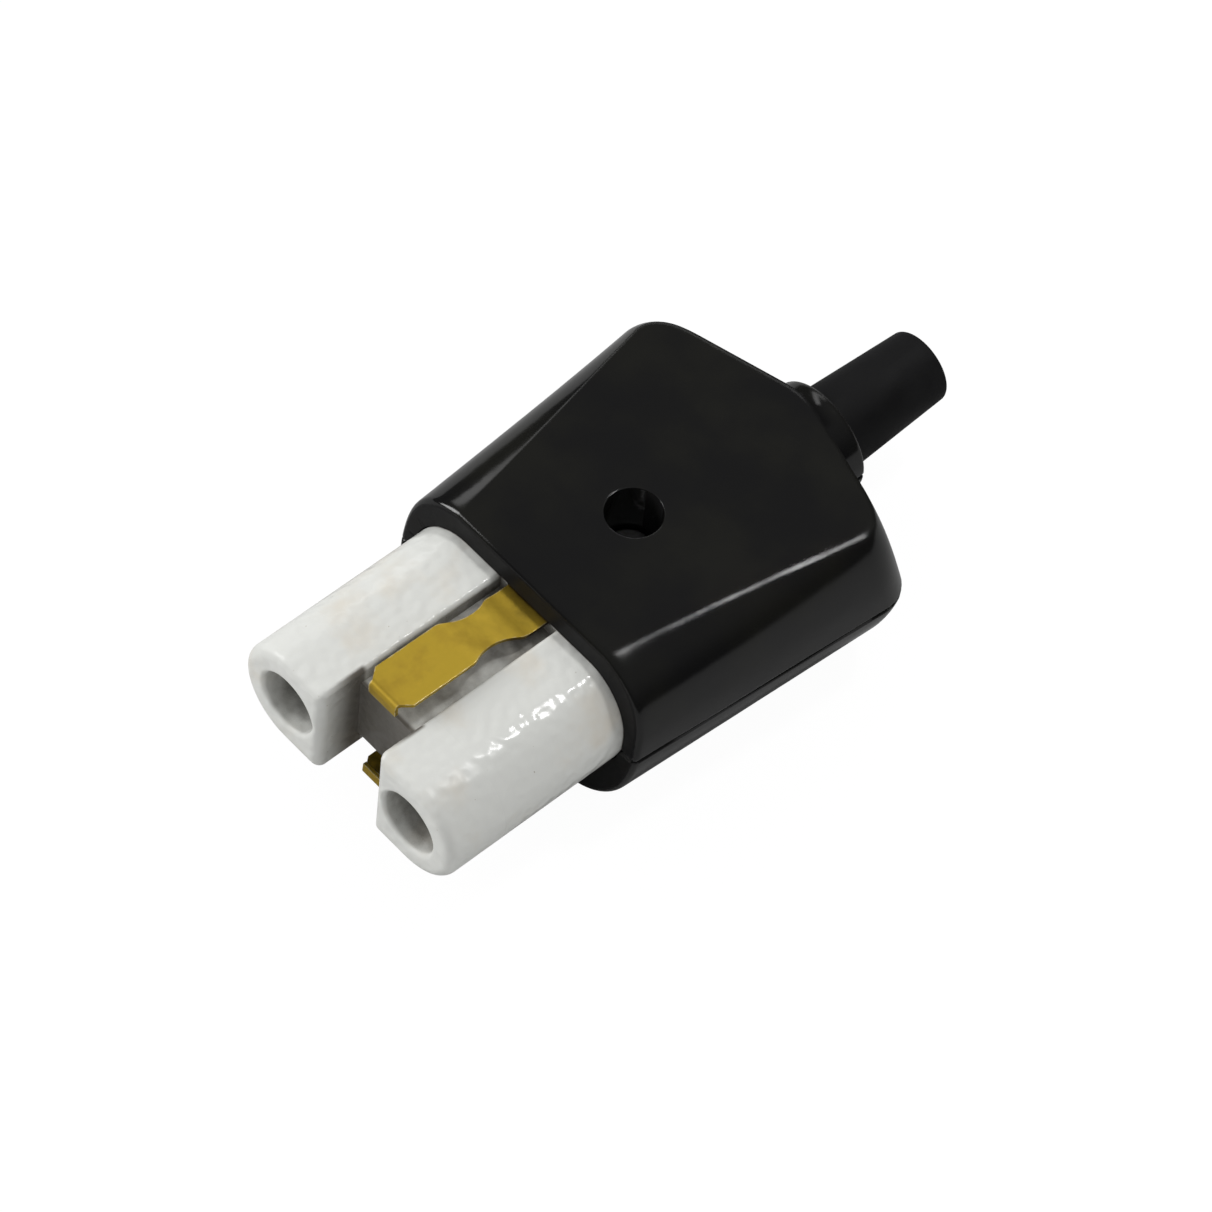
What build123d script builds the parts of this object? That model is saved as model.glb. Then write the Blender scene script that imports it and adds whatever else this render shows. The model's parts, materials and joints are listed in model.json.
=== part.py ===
from build123d import *
import math
import os

os.makedirs("parts", exist_ok=True)

# Heat-proof appliance plug with a two-socket ceramic front, millimetres, +Z up.
# X runs across the plug, the ceramic towers point to -Y and the cord sleeve to +Y.
# The plug lies on its lower shell, and the origin is under the middle of its length.
# Places along the plug, the names that end in _at, are counted back from the tower fronts.
# Heights, the names that end in _z, are counted from the axis of the sockets.

# Whole plug
overall_length = 82.2
top_z = 9.75
seam_z = -1.1
bottom_z = -12.0
socket_spacing = 19.0

# Clearances
face_gap = 0.02
seat_gap = 0.15
hole_gap = 0.15
thread_gap = 0.05

# Housing, two shells of black moulding
front_at = 23.55
front_lean = 0.12
side_lean = 7.7
cheek = 2.2
spread_top = 0.21
spread_bottom = 0.14
spread_mid = 0.078
upper_fullness = 0.8
lower_fullness = 0.6
fullness_fade = 0.3
bow_low = 0.54
bow_high = 0.9
bow_fade = 0.2
back_pull = 0.5
flat_inset = 0.8
back_slope = 0.278
back_bend = 12.0
back_draft = 3.0
back_clear = 5.15
corner_radius = 4.2
rim_round = 0.8
wall = 2.4
trim = 0.05
neck_wall = 1.6
neck_proud = 0.85
neck_depth = 8.0
neck_round = 0.4

# Ceramic insert
tower_half_height = 6.8
tower_inner_wall = 1.35
tower_round = 1.2
tower_corner = 0.6
mouth_round = 0.5
web_half_height = 4.6
web_front_at = 5.6
base_set_back = 1.15
base_length = 7.9
flange_set_back = 2.3
flange_width = 2.5
flange_rise = 0.9
rivet_well = 1.6

# Contacts for round pins
pin_d = 6.0
pin_gap = 0.03
contact_front_at = 9.0
contact_wall = 0.47
contact_floor = 2.7
slit_width = 0.8
slit_length = 13.0
block_gap = 0.1
block_length = 11.3
block_side = 0.1
block_rise = 0.2
wire_hole_d = 3.4
wire_depth = 8.5
terminal_set_in = 4.0
terminal_lift = 0.6
tube_edge = 0.15
block_edge = 0.4
ring_set_back = 4.0
ring_width = 2.6
ring_thickness = 0.22
ring_opening = 1.6
ring_clear = 0.06

# Earth springs of brass strip
strip = 0.45
strip_side_clear = 1.3
strip_sink = 0.245
strip_bow = 1.97
strip_rise_length = 2.3
strip_top_length = 9.7
strip_overhang = 1.0
strip_lip = 1.5
strip_corner = 1.0
strip_corner_length = 1.2
strip_fold = 0.5
bow_bend = 6.0
bow_tilt = 0.1
lip_rake = 0.1
lip_zone = 0.3
waist_depth = 0.9
waist_length = 6.6
waist_ahead = 6.8
waist_round = 1.8
tab_gap = 0.22
tab_step = 0.45
tab_end = 1.4
tab_neck = 3.0
tab_taper = 1.0
slot_gap = 0.25

# Earth strap, rivets and terminal
strap_clear = 0.555
strap_margin = 1.3
strap_tail = 2.8
strap_bend = 0.7
strap_tail_round = 1.5
rivet_z = 2.6
rivet_d = 1.9
rivet_head_d = 3.2
rivet_head = 0.45
square_nut = 5.5
square_nut_height = 2.4
washer_d = 6.4
washer_height = 0.6
earth_screw_clear = 0.8
earth_screw_tip = 1.95

# Screws
screw_set_back = 6.5
screw_d = 4.0
screw_tip = 0.2
counterbore_depth = 9.4
head_d = 6.0
head_gap = 0.2
head_height = 2.4
nut_across = 7.0
nut_gap = 0.1
nut_height = 3.2
nut_pocket_depth = 4.4
boss_wall = 1.0
small_screw_d = 3.0
small_head_d = 4.8
small_head_height = 1.7
cap_round_share = 0.15
slot_width_share = 0.18
slot_depth_share = 0.45
tip_share = 0.12
nut_corner = 0.4

# Cord sleeve and clamp
sleeve_root_d = 10.1
sleeve_end_d = 8.7
sleeve_round = 0.4
cord_hole_d = 6.4
cord_clear = 0.4
collar_rise = 1.25
collar_gap = 0.3
collar_thickness = 1.6
rib_width = 1.2
rib_gap = 0.5
rib_side = 1.4
contact_rib_set_in = 1.8
clamp_set_back = 2.0
clamp_length = 4.5
clamp_drop = 1.0
clamp_height = 2.2
clamp_screw_bite = 5.8
clamp_screw_clear = 2.8
pilot_spare = 0.4
post_wall = 1.2
arch_thickness = 1.4

# Values that follow from the sizes above, across the plug
axis_height = -bottom_z
tower_front_y = -overall_length / 2
socket_x = socket_spacing / 2
contact_radius = pin_d / 2 + pin_gap + contact_wall
ring_inner = contact_radius + face_gap
socket_hole_d = 2 * (ring_inner + ring_thickness + ring_clear)
block_width = 2 * (contact_radius + block_side)
block_half_height = contact_radius + block_rise
tower_inner_x = socket_x - socket_hole_d / 2 - tower_inner_wall
front_half_mid = socket_x + tower_half_height + cheek
front_half_top = front_half_mid - side_lean
strip_half_width = tower_inner_x - strip_side_clear
strip_waist = strip_half_width - waist_depth
tab_half_width = strip_half_width - tab_step
counterbore_d = head_d + 2 * head_gap
boss_radius = counterbore_d / 2 + boss_wall
nut_boss_radius = (nut_across / 2 + nut_gap) / math.cos(math.pi / 6) + boss_wall
strap_side_x = boss_radius + strap_clear + strip / 2
collar_d = sleeve_root_d + 2 * collar_rise
neck_radius = sleeve_root_d / 2 + seat_gap + neck_wall
post_radius = small_screw_d / 2 + post_wall
clamp_screw_x = cord_hole_d / 2 + arch_thickness + clamp_screw_clear

# Places along the plug
base_front_at = front_at + base_set_back
base_end_at = base_front_at + base_length
flange_at = base_front_at + flange_set_back
slit_end_at = contact_front_at + slit_length
ring_at = contact_front_at + ring_set_back
block_at = base_end_at + block_gap
block_end_at = block_at + block_length
contact_floor_at = block_at - contact_floor
wire_floor_at = block_end_at - wire_depth
terminal_at = block_end_at - terminal_set_in
strip_front_at = web_front_at - strip_overhang
strip_top_at = base_front_at - strip_top_length
strip_rise_at = base_front_at - strip_rise_length
waist_at = base_front_at - waist_ahead
tab_at = base_end_at + tab_gap + strip / 2
strap_at = tab_at + strip + 2 * face_gap
screw_at = base_end_at + screw_set_back
earth_screw_at = block_end_at + small_head_d / 2 + earth_screw_clear
strap_end_at = earth_screw_at + strap_tail
clamp_at = strap_end_at + clamp_set_back
rib_at = clamp_at + clamp_length + rib_gap
collar_at = rib_at + rib_width + collar_gap
back_at = collar_at + back_clear
neck_end_at = back_at + back_draft + neck_proud
neck_root_at = neck_end_at - neck_depth

# Heights over the socket axis
strip_low_z = tower_half_height - strip_sink - strip / 2
strip_high_z = strip_low_z + strip_bow
strap_half_height = rivet_z + strap_margin
screw_seat_z = top_z - counterbore_depth + face_gap
nut_top_z = bottom_z + nut_pocket_depth - face_gap
terminal_seat_z = block_half_height + terminal_lift
clamp_seat_z = seam_z - clamp_drop + clamp_height + face_gap


def y_of(distance):
    """Place along Y of a distance counted back from the tower fronts."""
    return tower_front_y + distance


def cross_plane(distance):
    """Sketch plane across the plug, x to +X and y up, centred on the socket axis."""
    return Plane(origin=(0, y_of(distance), axis_height), x_dir=(1, 0, 0), z_dir=(0, -1, 0))


def level_plane(height):
    """Level sketch plane, x to +X and y counted back from the tower fronts."""
    return Plane(origin=(0, tower_front_y, axis_height + height), x_dir=(1, 0, 0))


side_plane = Plane(origin=(0, tower_front_y, axis_height), x_dir=(0, 1, 0), z_dir=(1, 0, 0))


def place(x, distance, height):
    return (x, y_of(distance), axis_height + height)


def rib_rows(side):
    """Places of the ribs that hold a contact block, clear of the terminal screws above."""
    front_row = block_at + contact_rib_set_in
    back_row = block_end_at - contact_rib_set_in
    return (front_row,) if side > 0 else (front_row, back_row)


def face_z(side):
    """Height of the flat outer face of the upper shell (1) or the lower shell (-1)."""
    return top_z if side > 0 else bottom_z


def shell_section(distance, side, inset):
    """Half section of the housing: a flat face, bulging sides and the flat parting plane.

    It runs past the flat face by the trim, which the drafted plan then cuts off level.
    """
    back_share = min(1, (distance - front_at) / (back_at - front_at))
    spread = spread_top if side > 0 else spread_bottom
    flat = front_half_top + spread * (distance - front_at) - flat_inset * inset
    mid = front_half_mid + spread_mid * (distance - front_at) - inset
    rise = face_z(side) - side * (inset - trim) - seam_z
    fullness = upper_fullness if side > 0 else lower_fullness
    shoulder = flat + (mid - flat) * (fullness - fullness_fade * back_share)
    with BuildSketch(cross_plane(distance)) as section:
        with BuildLine():
            right = Bezier(
                (mid, seam_z),
                (mid - back_pull * back_share, seam_z + rise * (bow_low - bow_fade * back_share)),
                (shoulder, seam_z + rise * (bow_high - bow_fade * back_share)),
                (flat, seam_z + rise),
            )
            mirror(right, about=Plane.YZ)
            Line((flat, seam_z + rise), (-flat, seam_z + rise))
            Line((mid, seam_z), (-mid, seam_z))
        make_face()
    return section.sketch


def back_limit(side, inset):
    """Drafted plan that gives the housing its two sloping back walls, blended in the middle."""
    rise = abs(face_z(side) - seam_z) - inset
    middle = back_at + back_draft - inset
    reach = 2 * front_half_mid
    with BuildPart() as limit:
        with BuildSketch(level_plane(seam_z)):
            with BuildLine():
                FilletPolyline(
                    (reach, middle - back_slope * reach),
                    (0, middle),
                    (-reach, middle - back_slope * reach),
                    (-reach, 0),
                    (reach, 0),
                    radius=(0, back_bend, 0, 0, 0),
                    close=True,
                )
            make_face()
        extrude(amount=rise * side, taper=math.degrees(math.atan2(back_draft, top_z - seam_z)))
    return limit.part


def housing_form(start_at, side, inset):
    """Solid half of the housing, from one place behind the towers to the sloping back walls."""
    sections = [shell_section(d, side, inset) for d in (start_at, back_at + 2 * back_draft)]
    limit = back_limit(side, inset)
    with BuildPart() as form:
        loft(sections, ruled=True)
        add(limit, mode=Mode.INTERSECT)
    return form.part


def front_cut():
    """Solid ahead of the housing's front, which leans back towards the top."""
    lean = front_lean * axis_height
    with BuildPart() as cut:
        with BuildSketch(side_plane):
            with BuildLine():
                Polyline(
                    (0, -axis_height),
                    (front_at - lean, -axis_height),
                    (front_at + lean, axis_height),
                    (0, axis_height),
                    close=True,
                )
            make_face()
        extrude(amount=2 * front_half_mid, both=True)
    return cut.part


def half_disc(distance, radius, side):
    """Half disc across the plug on one side of the parting plane."""
    with BuildSketch(cross_plane(distance)) as disc:
        with Locations((0, seam_z)):
            Circle(radius)
        with Locations((0, seam_z - side * radius)):
            Rectangle(3 * radius, 2 * radius, mode=Mode.SUBTRACT)
    return disc.sketch


def ceramic_outline(distance, grow):
    """Outline round both towers, flat above and below with half-round ends."""
    with BuildSketch(cross_plane(distance)) as outline:
        SlotCenterToCenter(socket_spacing, 2 * (tower_half_height + grow))
    return outline.sketch


def tower(side):
    """One tower of the ceramic, flat towards the web and half-round outside."""
    with BuildPart() as body:
        with BuildSketch(cross_plane(0)) as section:
            SlotCenterToCenter(socket_spacing, 2 * tower_half_height)
            with Locations((side * (tower_inner_x + socket_spacing), 0)):
                Rectangle(2 * socket_spacing, 3 * tower_half_height, mode=Mode.INTERSECT)
            inner_corners = section.vertices().filter_by(
                lambda v: abs(abs(v.X) - tower_inner_x) < 0.01
            )
            fillet(inner_corners, radius=tower_corner)
        extrude(amount=-base_end_at)
        fillet(body.faces().sort_by(Axis.Y)[0].edges(), radius=tower_round)
    return body.part


def shell(side):
    """One shell of the housing, side 1 above the parting plane and side -1 below it."""
    away = (Align.CENTER, Align.CENTER, Align.MIN if side > 0 else Align.MAX)
    towards = (Align.CENTER, Align.CENTER, Align.MAX if side > 0 else Align.MIN)
    in_wall_z = face_z(side) - side * wall / 2
    reach = abs(in_wall_z - seam_z)

    outside = housing_form(front_at - 2 * base_set_back, side, 0)
    room = housing_form(base_end_at, side, wall)

    with BuildPart() as form:
        add(outside)
        add(front_cut(), mode=Mode.SUBTRACT)
        middle_z = axis_height + (face_z(side) + seam_z) / 2
        corners = form.edges().filter_by(
            lambda e: abs(e.center().X) > front_half_top
            and e.center().Y > y_of((front_at + back_at) / 2)
            and abs(e.center().Z - middle_z) < reach / 3
        )
        fillet(corners, radius=corner_radius)
        rim = form.faces().sort_by(Axis.Y)[0].edges()
        fillet(rim.filter_by(lambda e: abs(e.center().Z - axis_height - seam_z) > 0.5), rim_round)

        extrude(half_disc(neck_end_at, neck_radius, side), amount=neck_end_at - neck_root_at)
        neck_rim = form.faces().sort_by(Axis.Y)[-1].edges().filter_by(GeomType.CIRCLE)
        fillet(neck_rim, radius=neck_round)
        add(room, mode=Mode.SUBTRACT)

        # Boss for the housing screw, and ribs that hold the contact blocks and the cord
        with Locations(place(0, screw_at, seam_z)):
            Cylinder(boss_radius, reach, align=away)
        rib_places = [(x, d) for x in (-socket_x, socket_x) for d in rib_rows(side)]
        with Locations(*[place(x, d, in_wall_z) for x, d in rib_places]):
            rib_height = abs(in_wall_z) - block_half_height - block_gap
            Box(block_width, rib_width, rib_height, align=towards)
        with Locations(place(0, rib_at + rib_width / 2, seam_z)):
            Box(2 * (neck_radius + rib_side), rib_width, reach, align=away)
        if side < 0:
            posts = [(x, clamp_at + clamp_length / 2) for x in (-clamp_screw_x, clamp_screw_x)]
            with Locations(*[place(x, d, in_wall_z) for x, d in posts]):
                Cylinder(post_radius, reach - clamp_drop, align=towards)
            with Locations(*[place(x, d, seam_z - clamp_drop) for x, d in posts]):
                pilot_depth = clamp_screw_bite + pilot_spare
                pilot_radius = small_screw_d / 2 + thread_gap
                Cylinder(pilot_radius, pilot_depth, align=away, mode=Mode.SUBTRACT)
            with Locations(place(0, screw_at, bottom_z + wall / 2)):
                Cylinder(nut_boss_radius, nut_pocket_depth + boss_wall - wall / 2, align=towards)

        # Ceramic seat with the groove for its flange
        extrude(
            ceramic_outline(front_at - 2 * base_set_back, seat_gap),
            amount=front_at - 2 * base_set_back - base_end_at - seat_gap,
            mode=Mode.SUBTRACT,
        )
        extrude(
            ceramic_outline(flange_at - seat_gap, flange_rise + seat_gap),
            amount=-(flange_width + 2 * seat_gap),
            mode=Mode.SUBTRACT,
        )

        # Cord way: hole through the rib, then the bore of the back wall and neck
        extrude(
            half_disc(rib_at - 1, cord_hole_d / 2 + cord_clear, side),
            amount=-(rib_width + 2),
            mode=Mode.SUBTRACT,
        )
        extrude(
            half_disc(rib_at + rib_width, sleeve_root_d / 2 + seat_gap, side),
            amount=-(neck_end_at - rib_at),
            mode=Mode.SUBTRACT,
        )

        # Screw hole, counterbored above and with a hexagonal nut pocket below
        with Locations(place(0, screw_at, 0)):
            Cylinder(screw_d / 2 + hole_gap, 3 * axis_height, mode=Mode.SUBTRACT)
        with BuildSketch(Plane(origin=place(0, screw_at, face_z(side)))):
            if side > 0:
                Circle(counterbore_d / 2)
            else:
                RegularPolygon(nut_across / 2 + nut_gap, 6, major_radius=False)
        depth = counterbore_depth if side > 0 else nut_pocket_depth
        extrude(amount=-side * depth, mode=Mode.SUBTRACT)
    return form.part


def slotted_screw(shank_d, length, cap_d, cap_height):
    """Slotted cheese-head screw that points down, with the underside of its head at zero."""
    with BuildPart() as screw:
        with BuildSketch(Plane.XY):
            Circle(cap_d / 2)
        extrude(amount=cap_height)
        fillet(screw.edges().group_by(Axis.Z)[-1], radius=cap_round_share * cap_height)
        with BuildSketch(Plane.XY):
            Circle(shank_d / 2)
        extrude(amount=-length)
        chamfer(screw.edges().group_by(Axis.Z)[0], length=tip_share * shank_d)
        with Locations((0, 0, cap_height)):
            slot_depth = slot_depth_share * cap_height
            Box(2 * cap_d, slot_width_share * cap_d, 2 * slot_depth, mode=Mode.SUBTRACT)
    return screw.part


def contact(side):
    """Slit tube for a round pin, in one piece with the block that takes the wire."""
    x = side * socket_x
    with BuildPart() as body:
        with BuildSketch(cross_plane(contact_front_at)):
            with Locations((x, 0)):
                Circle(contact_radius)
        extrude(amount=contact_front_at - block_at)
        chamfer(body.edges().sort_by(Axis.Y)[0], length=tube_edge)
        with Locations(place(x, (block_at + block_end_at) / 2, 0)):
            Box(block_width, block_end_at - block_at, 2 * block_half_height)
        chamfer(body.faces().sort_by(Axis.Y)[-1].edges(), length=block_edge)
        with BuildSketch(cross_plane(contact_front_at)):
            with Locations((x, 0)):
                Circle(pin_d / 2 + pin_gap)
        extrude(amount=contact_front_at - contact_floor_at, mode=Mode.SUBTRACT)
        with Locations(place(x, (contact_front_at - 1 + slit_end_at) / 2, 0)):
            Box(slit_width, slit_end_at - contact_front_at + 1, 3 * contact_radius, mode=Mode.SUBTRACT)
        with BuildSketch(cross_plane(block_end_at)):
            with Locations((x, 0)):
                Circle(wire_hole_d / 2)
        extrude(amount=block_end_at - wire_floor_at, mode=Mode.SUBTRACT)
        with Locations(place(x, terminal_at, block_half_height)):
            Cylinder(
                small_screw_d / 2 + thread_gap,
                block_half_height,
                align=(Align.CENTER, Align.CENTER, Align.MAX),
                mode=Mode.SUBTRACT,
            )
    return body.part


def contact_ring(side):
    """Open spring ring that presses the halves of a slit contact tube together."""
    x = side * socket_x
    with BuildPart() as body:
        with BuildSketch(cross_plane(ring_at)):
            with Locations((x, 0)):
                Circle(ring_inner + ring_thickness)
                Circle(ring_inner, mode=Mode.SUBTRACT)
            with Locations((x + side * ring_inner, 0)):
                Rectangle(ring_inner, ring_opening, mode=Mode.SUBTRACT)
        extrude(amount=-ring_width)
    return body.part


def earth_spring(side):
    """Bowed leaf of brass strip with a waist, a bent front lip and a tab behind the ceramic."""
    with BuildPart() as leaf:
        with BuildSketch(side_plane):
            with BuildLine():
                FilletPolyline(
                    (tab_at, side * (rivet_z - tab_end)),
                    (tab_at, side * strip_low_z),
                    (strip_rise_at, side * strip_low_z),
                    (strip_top_at, side * strip_high_z),
                    (strip_front_at, side * (strip_high_z + bow_tilt)),
                    (strip_front_at + lip_rake, side * (strip_high_z - strip_lip)),
                    radius=(strip_fold, bow_bend, bow_bend, strip_fold),
                )
            trace(line_width=strip)
        extrude(amount=2 * strip_half_width, both=True)
        with BuildSketch(level_plane(0)) as plan:
            with BuildLine():
                edge = Polyline(
                    (0, strip_front_at - 1),
                    (strip_half_width - strip_corner, strip_front_at - 1),
                    (strip_half_width - strip_corner, strip_front_at + lip_zone),
                    (strip_half_width, strip_front_at + lip_zone + strip_corner_length),
                    (strip_half_width, base_end_at - tab_neck),
                    (tab_half_width, base_end_at - tab_neck + tab_taper),
                    (tab_half_width, tab_at + 1),
                    (0, tab_at + 1),
                )
                mirror(edge, about=Plane.YZ)
            make_face()
            bite = ((waist_length / 2) ** 2 + waist_depth**2) / (2 * waist_depth)
            with Locations((strip_waist + bite, waist_at), (-strip_waist - bite, waist_at)):
                Circle(bite, mode=Mode.SUBTRACT)
            waist_ends = plan.vertices().filter_by(
                lambda v: abs(abs(v.X) - strip_half_width) < 0.01
                and abs(abs(v.Y - waist_at) - waist_length / 2) < 0.1
            )
            fillet(waist_ends, radius=waist_round)
        extrude(amount=2 * axis_height, both=True, mode=Mode.INTERSECT)
        with Locations(Plane(origin=place(0, tab_at, side * rivet_z), z_dir=(0, -1, 0))):
            Cylinder(rivet_d / 2 + thread_gap, 4 * strip, mode=Mode.SUBTRACT)
    return leaf.part


with BuildPart() as upper_housing:
    add(shell(1))

with BuildPart() as lower_housing:
    add(shell(-1))

# One piece of glazed ceramic: two towers, the web between them and the flanged base
with BuildPart() as ceramic_insert:
    add(tower(-1))
    add(tower(1))
    with Locations(place(0, (web_front_at + base_end_at) / 2, 0)):
        Box(3 * tower_inner_x, base_end_at - web_front_at, 2 * web_half_height)
    extrude(ceramic_outline(base_front_at, 0), amount=base_front_at - base_end_at)
    extrude(ceramic_outline(flange_at, flange_rise), amount=-flange_width)
    slot_floor = strip_low_z - strip / 2 - face_gap
    slot_depth = tower_half_height + flange_rise - slot_floor
    for side in (-1, 1):
        middle_z = side * (slot_floor + slot_depth)
        with Locations(place(0, (base_front_at + base_end_at) / 2, middle_z)):
            slot_width = 2 * (strip_half_width + slot_gap)
            Box(slot_width, base_length + 2, 2 * slot_depth, mode=Mode.SUBTRACT)
    with BuildSketch(cross_plane(0)):
        with Locations((-socket_x, 0), (socket_x, 0)):
            Circle(socket_hole_d / 2)
    extrude(amount=-base_end_at, mode=Mode.SUBTRACT)
    mouths = ceramic_insert.edges().filter_by(GeomType.CIRCLE).filter_by(
        lambda e: abs(e.radius - socket_hole_d / 2) < 0.01 and e.center().Y < y_of(0.1)
    )
    fillet(mouths, radius=mouth_round)
    with Locations(
        *[
            Plane(origin=place(0, base_end_at, side * rivet_z), z_dir=(0, -1, 0))
            for side in (-1, 1)
        ]
    ):
        Cylinder(rivet_head_d / 2 + 2 * hole_gap, rivet_well, mode=Mode.SUBTRACT)

with BuildPart() as left_contact:
    add(contact(-1))

with BuildPart() as right_contact:
    add(contact(1))

with BuildPart() as left_contact_ring:
    add(contact_ring(-1))

with BuildPart() as right_contact_ring:
    add(contact_ring(1))

with BuildPart() as upper_earth_spring:
    add(earth_spring(1))

with BuildPart() as lower_earth_spring:
    add(earth_spring(-1))

# Strap that joins both earth springs and runs back past the screw boss to the earth terminal
with BuildPart() as earth_strap:
    with BuildSketch(level_plane(0)):
        with BuildLine():
            FilletPolyline(
                (-tab_half_width, strap_at),
                (strap_side_x, strap_at),
                (strap_side_x, strap_end_at),
                radius=strap_bend,
            )
        trace(line_width=strip)
    extrude(amount=strap_half_height, both=True)
    with Locations(
        *[Plane(origin=place(0, strap_at, side * rivet_z), z_dir=(0, -1, 0)) for side in (-1, 1)]
    ):
        Cylinder(rivet_d / 2 + thread_gap, 4 * strip, mode=Mode.SUBTRACT)
    with Locations(Plane(origin=place(strap_side_x, earth_screw_at, 0), z_dir=(1, 0, 0))):
        Cylinder(small_screw_d / 2 + hole_gap, 4 * strip, mode=Mode.SUBTRACT)
    tail = earth_strap.faces().sort_by(Axis.Y)[-1].edges().filter_by(Axis.X)
    fillet(tail, radius=strap_tail_round)

# Two rivets that join the spring tabs to the strap
rivet_front = tab_at - strip / 2
rivet_back = strap_at + strip / 2
with BuildPart() as earth_rivets:
    for side in (-1, 1):
        for at, radius, length in (
            (rivet_front - rivet_head - face_gap, rivet_head_d / 2, rivet_head),
            (rivet_front - rivet_head / 2, rivet_d / 2, rivet_back - rivet_front + rivet_head),
            (rivet_back + face_gap, rivet_head_d / 2, rivet_head),
        ):
            with BuildSketch(cross_plane(at)):
                with Locations((0, side * rivet_z)):
                    Circle(radius)
            extrude(amount=-length)

strap_face_x = strap_side_x + strip / 2
washer_x = strap_face_x + face_gap
with BuildPart() as earth_washer:
    with Locations(Plane(origin=place(washer_x, earth_screw_at, 0), z_dir=(1, 0, 0))):
        Cylinder(washer_d / 2, washer_height, align=(Align.CENTER, Align.CENTER, Align.MIN))
        Cylinder(small_screw_d / 2 + hole_gap, 3 * washer_height, mode=Mode.SUBTRACT)

earth_head_x = washer_x + washer_height + face_gap
earth_screw_length = washer_height + strip + square_nut_height + earth_screw_tip
earth_screw_part = slotted_screw(
    small_screw_d, earth_screw_length, small_head_d, small_head_height
)
with BuildPart() as earth_screw:
    add(earth_screw_part.moved(Location(place(earth_head_x, earth_screw_at, 0), (0, 90, 0))))

nut_middle_x = strap_side_x - strip / 2 - face_gap - square_nut_height / 2
with BuildPart() as earth_nut:
    with Locations(place(nut_middle_x, earth_screw_at, 0)):
        Box(square_nut_height, square_nut, square_nut)
    chamfer(earth_nut.edges().filter_by(Axis.X), length=nut_corner)
    with Locations(Plane(origin=place(nut_middle_x, earth_screw_at, 0), z_dir=(1, 0, 0))):
        Cylinder(small_screw_d / 2 + thread_gap, 2 * square_nut_height, mode=Mode.SUBTRACT)

terminal_screw_part = slotted_screw(
    small_screw_d, terminal_seat_z, small_head_d, small_head_height
)

with BuildPart() as left_terminal_screw:
    add(terminal_screw_part.moved(Location(place(-socket_x, terminal_at, terminal_seat_z))))

with BuildPart() as right_terminal_screw:
    add(terminal_screw_part.moved(Location(place(socket_x, terminal_at, terminal_seat_z))))

# Housing screw, deep in its counterbore, and the nut in the pocket below
screw_length = screw_seat_z - nut_top_z + nut_height + screw_tip
housing_screw_part = slotted_screw(screw_d, screw_length, head_d, head_height)
with BuildPart() as housing_screw:
    add(housing_screw_part.moved(Location(place(0, screw_at, screw_seat_z))))

with BuildPart() as housing_nut:
    with BuildSketch(Plane(origin=place(0, screw_at, nut_top_z))):
        RegularPolygon(nut_across / 2, 6, major_radius=False)
        Circle(screw_d / 2 + thread_gap, mode=Mode.SUBTRACT)
    extrude(amount=-nut_height)

# Rubber sleeve with the collar that the housing traps
with BuildPart() as cable_sleeve:
    with BuildSketch(side_plane):
        with BuildLine():
            Polyline(
                (collar_at, seam_z + cord_hole_d / 2),
                (collar_at, seam_z + collar_d / 2),
                (collar_at + collar_thickness, seam_z + collar_d / 2),
                (collar_at + collar_thickness, seam_z + sleeve_root_d / 2),
                (neck_end_at, seam_z + sleeve_root_d / 2),
                (overall_length, seam_z + sleeve_end_d / 2),
                (overall_length, seam_z + cord_hole_d / 2),
                close=True,
            )
        make_face()
    revolve(axis=Axis(place(0, 0, seam_z), (0, 1, 0)))
    fillet(cable_sleeve.edges().sort_by(Axis.Y)[-2:], radius=sleeve_round)

# Cord clamp, an arched bar on two posts of the lower shell
with BuildPart() as cord_clamp:
    with BuildSketch(cross_plane(clamp_at)):
        with Locations((0, seam_z)):
            Circle(cord_hole_d / 2 + arch_thickness)
        with Locations((0, seam_z - clamp_drop - cord_hole_d)):
            Rectangle(3 * cord_hole_d, 2 * cord_hole_d, mode=Mode.SUBTRACT)
        with Locations((0, seam_z - clamp_drop + clamp_height / 2)):
            Rectangle(2 * (clamp_screw_x + post_radius), clamp_height)
        with Locations((0, seam_z)):
            Circle(cord_hole_d / 2, mode=Mode.SUBTRACT)
    extrude(amount=-clamp_length)
    with Locations(
        place(-clamp_screw_x, clamp_at + clamp_length / 2, seam_z),
        place(clamp_screw_x, clamp_at + clamp_length / 2, seam_z),
    ):
        Cylinder(small_screw_d / 2 + hole_gap, 4 * clamp_height, mode=Mode.SUBTRACT)

clamp_screw_length = clamp_height + clamp_screw_bite
clamp_screw_part = slotted_screw(
    small_screw_d, clamp_screw_length, small_head_d, small_head_height
)
with BuildPart() as left_clamp_screw:
    left_spot = place(-clamp_screw_x, clamp_at + clamp_length / 2, clamp_seat_z)
    add(clamp_screw_part.moved(Location(left_spot)))

with BuildPart() as right_clamp_screw:
    right_spot = place(clamp_screw_x, clamp_at + clamp_length / 2, clamp_seat_z)
    add(clamp_screw_part.moved(Location(right_spot)))

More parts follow.
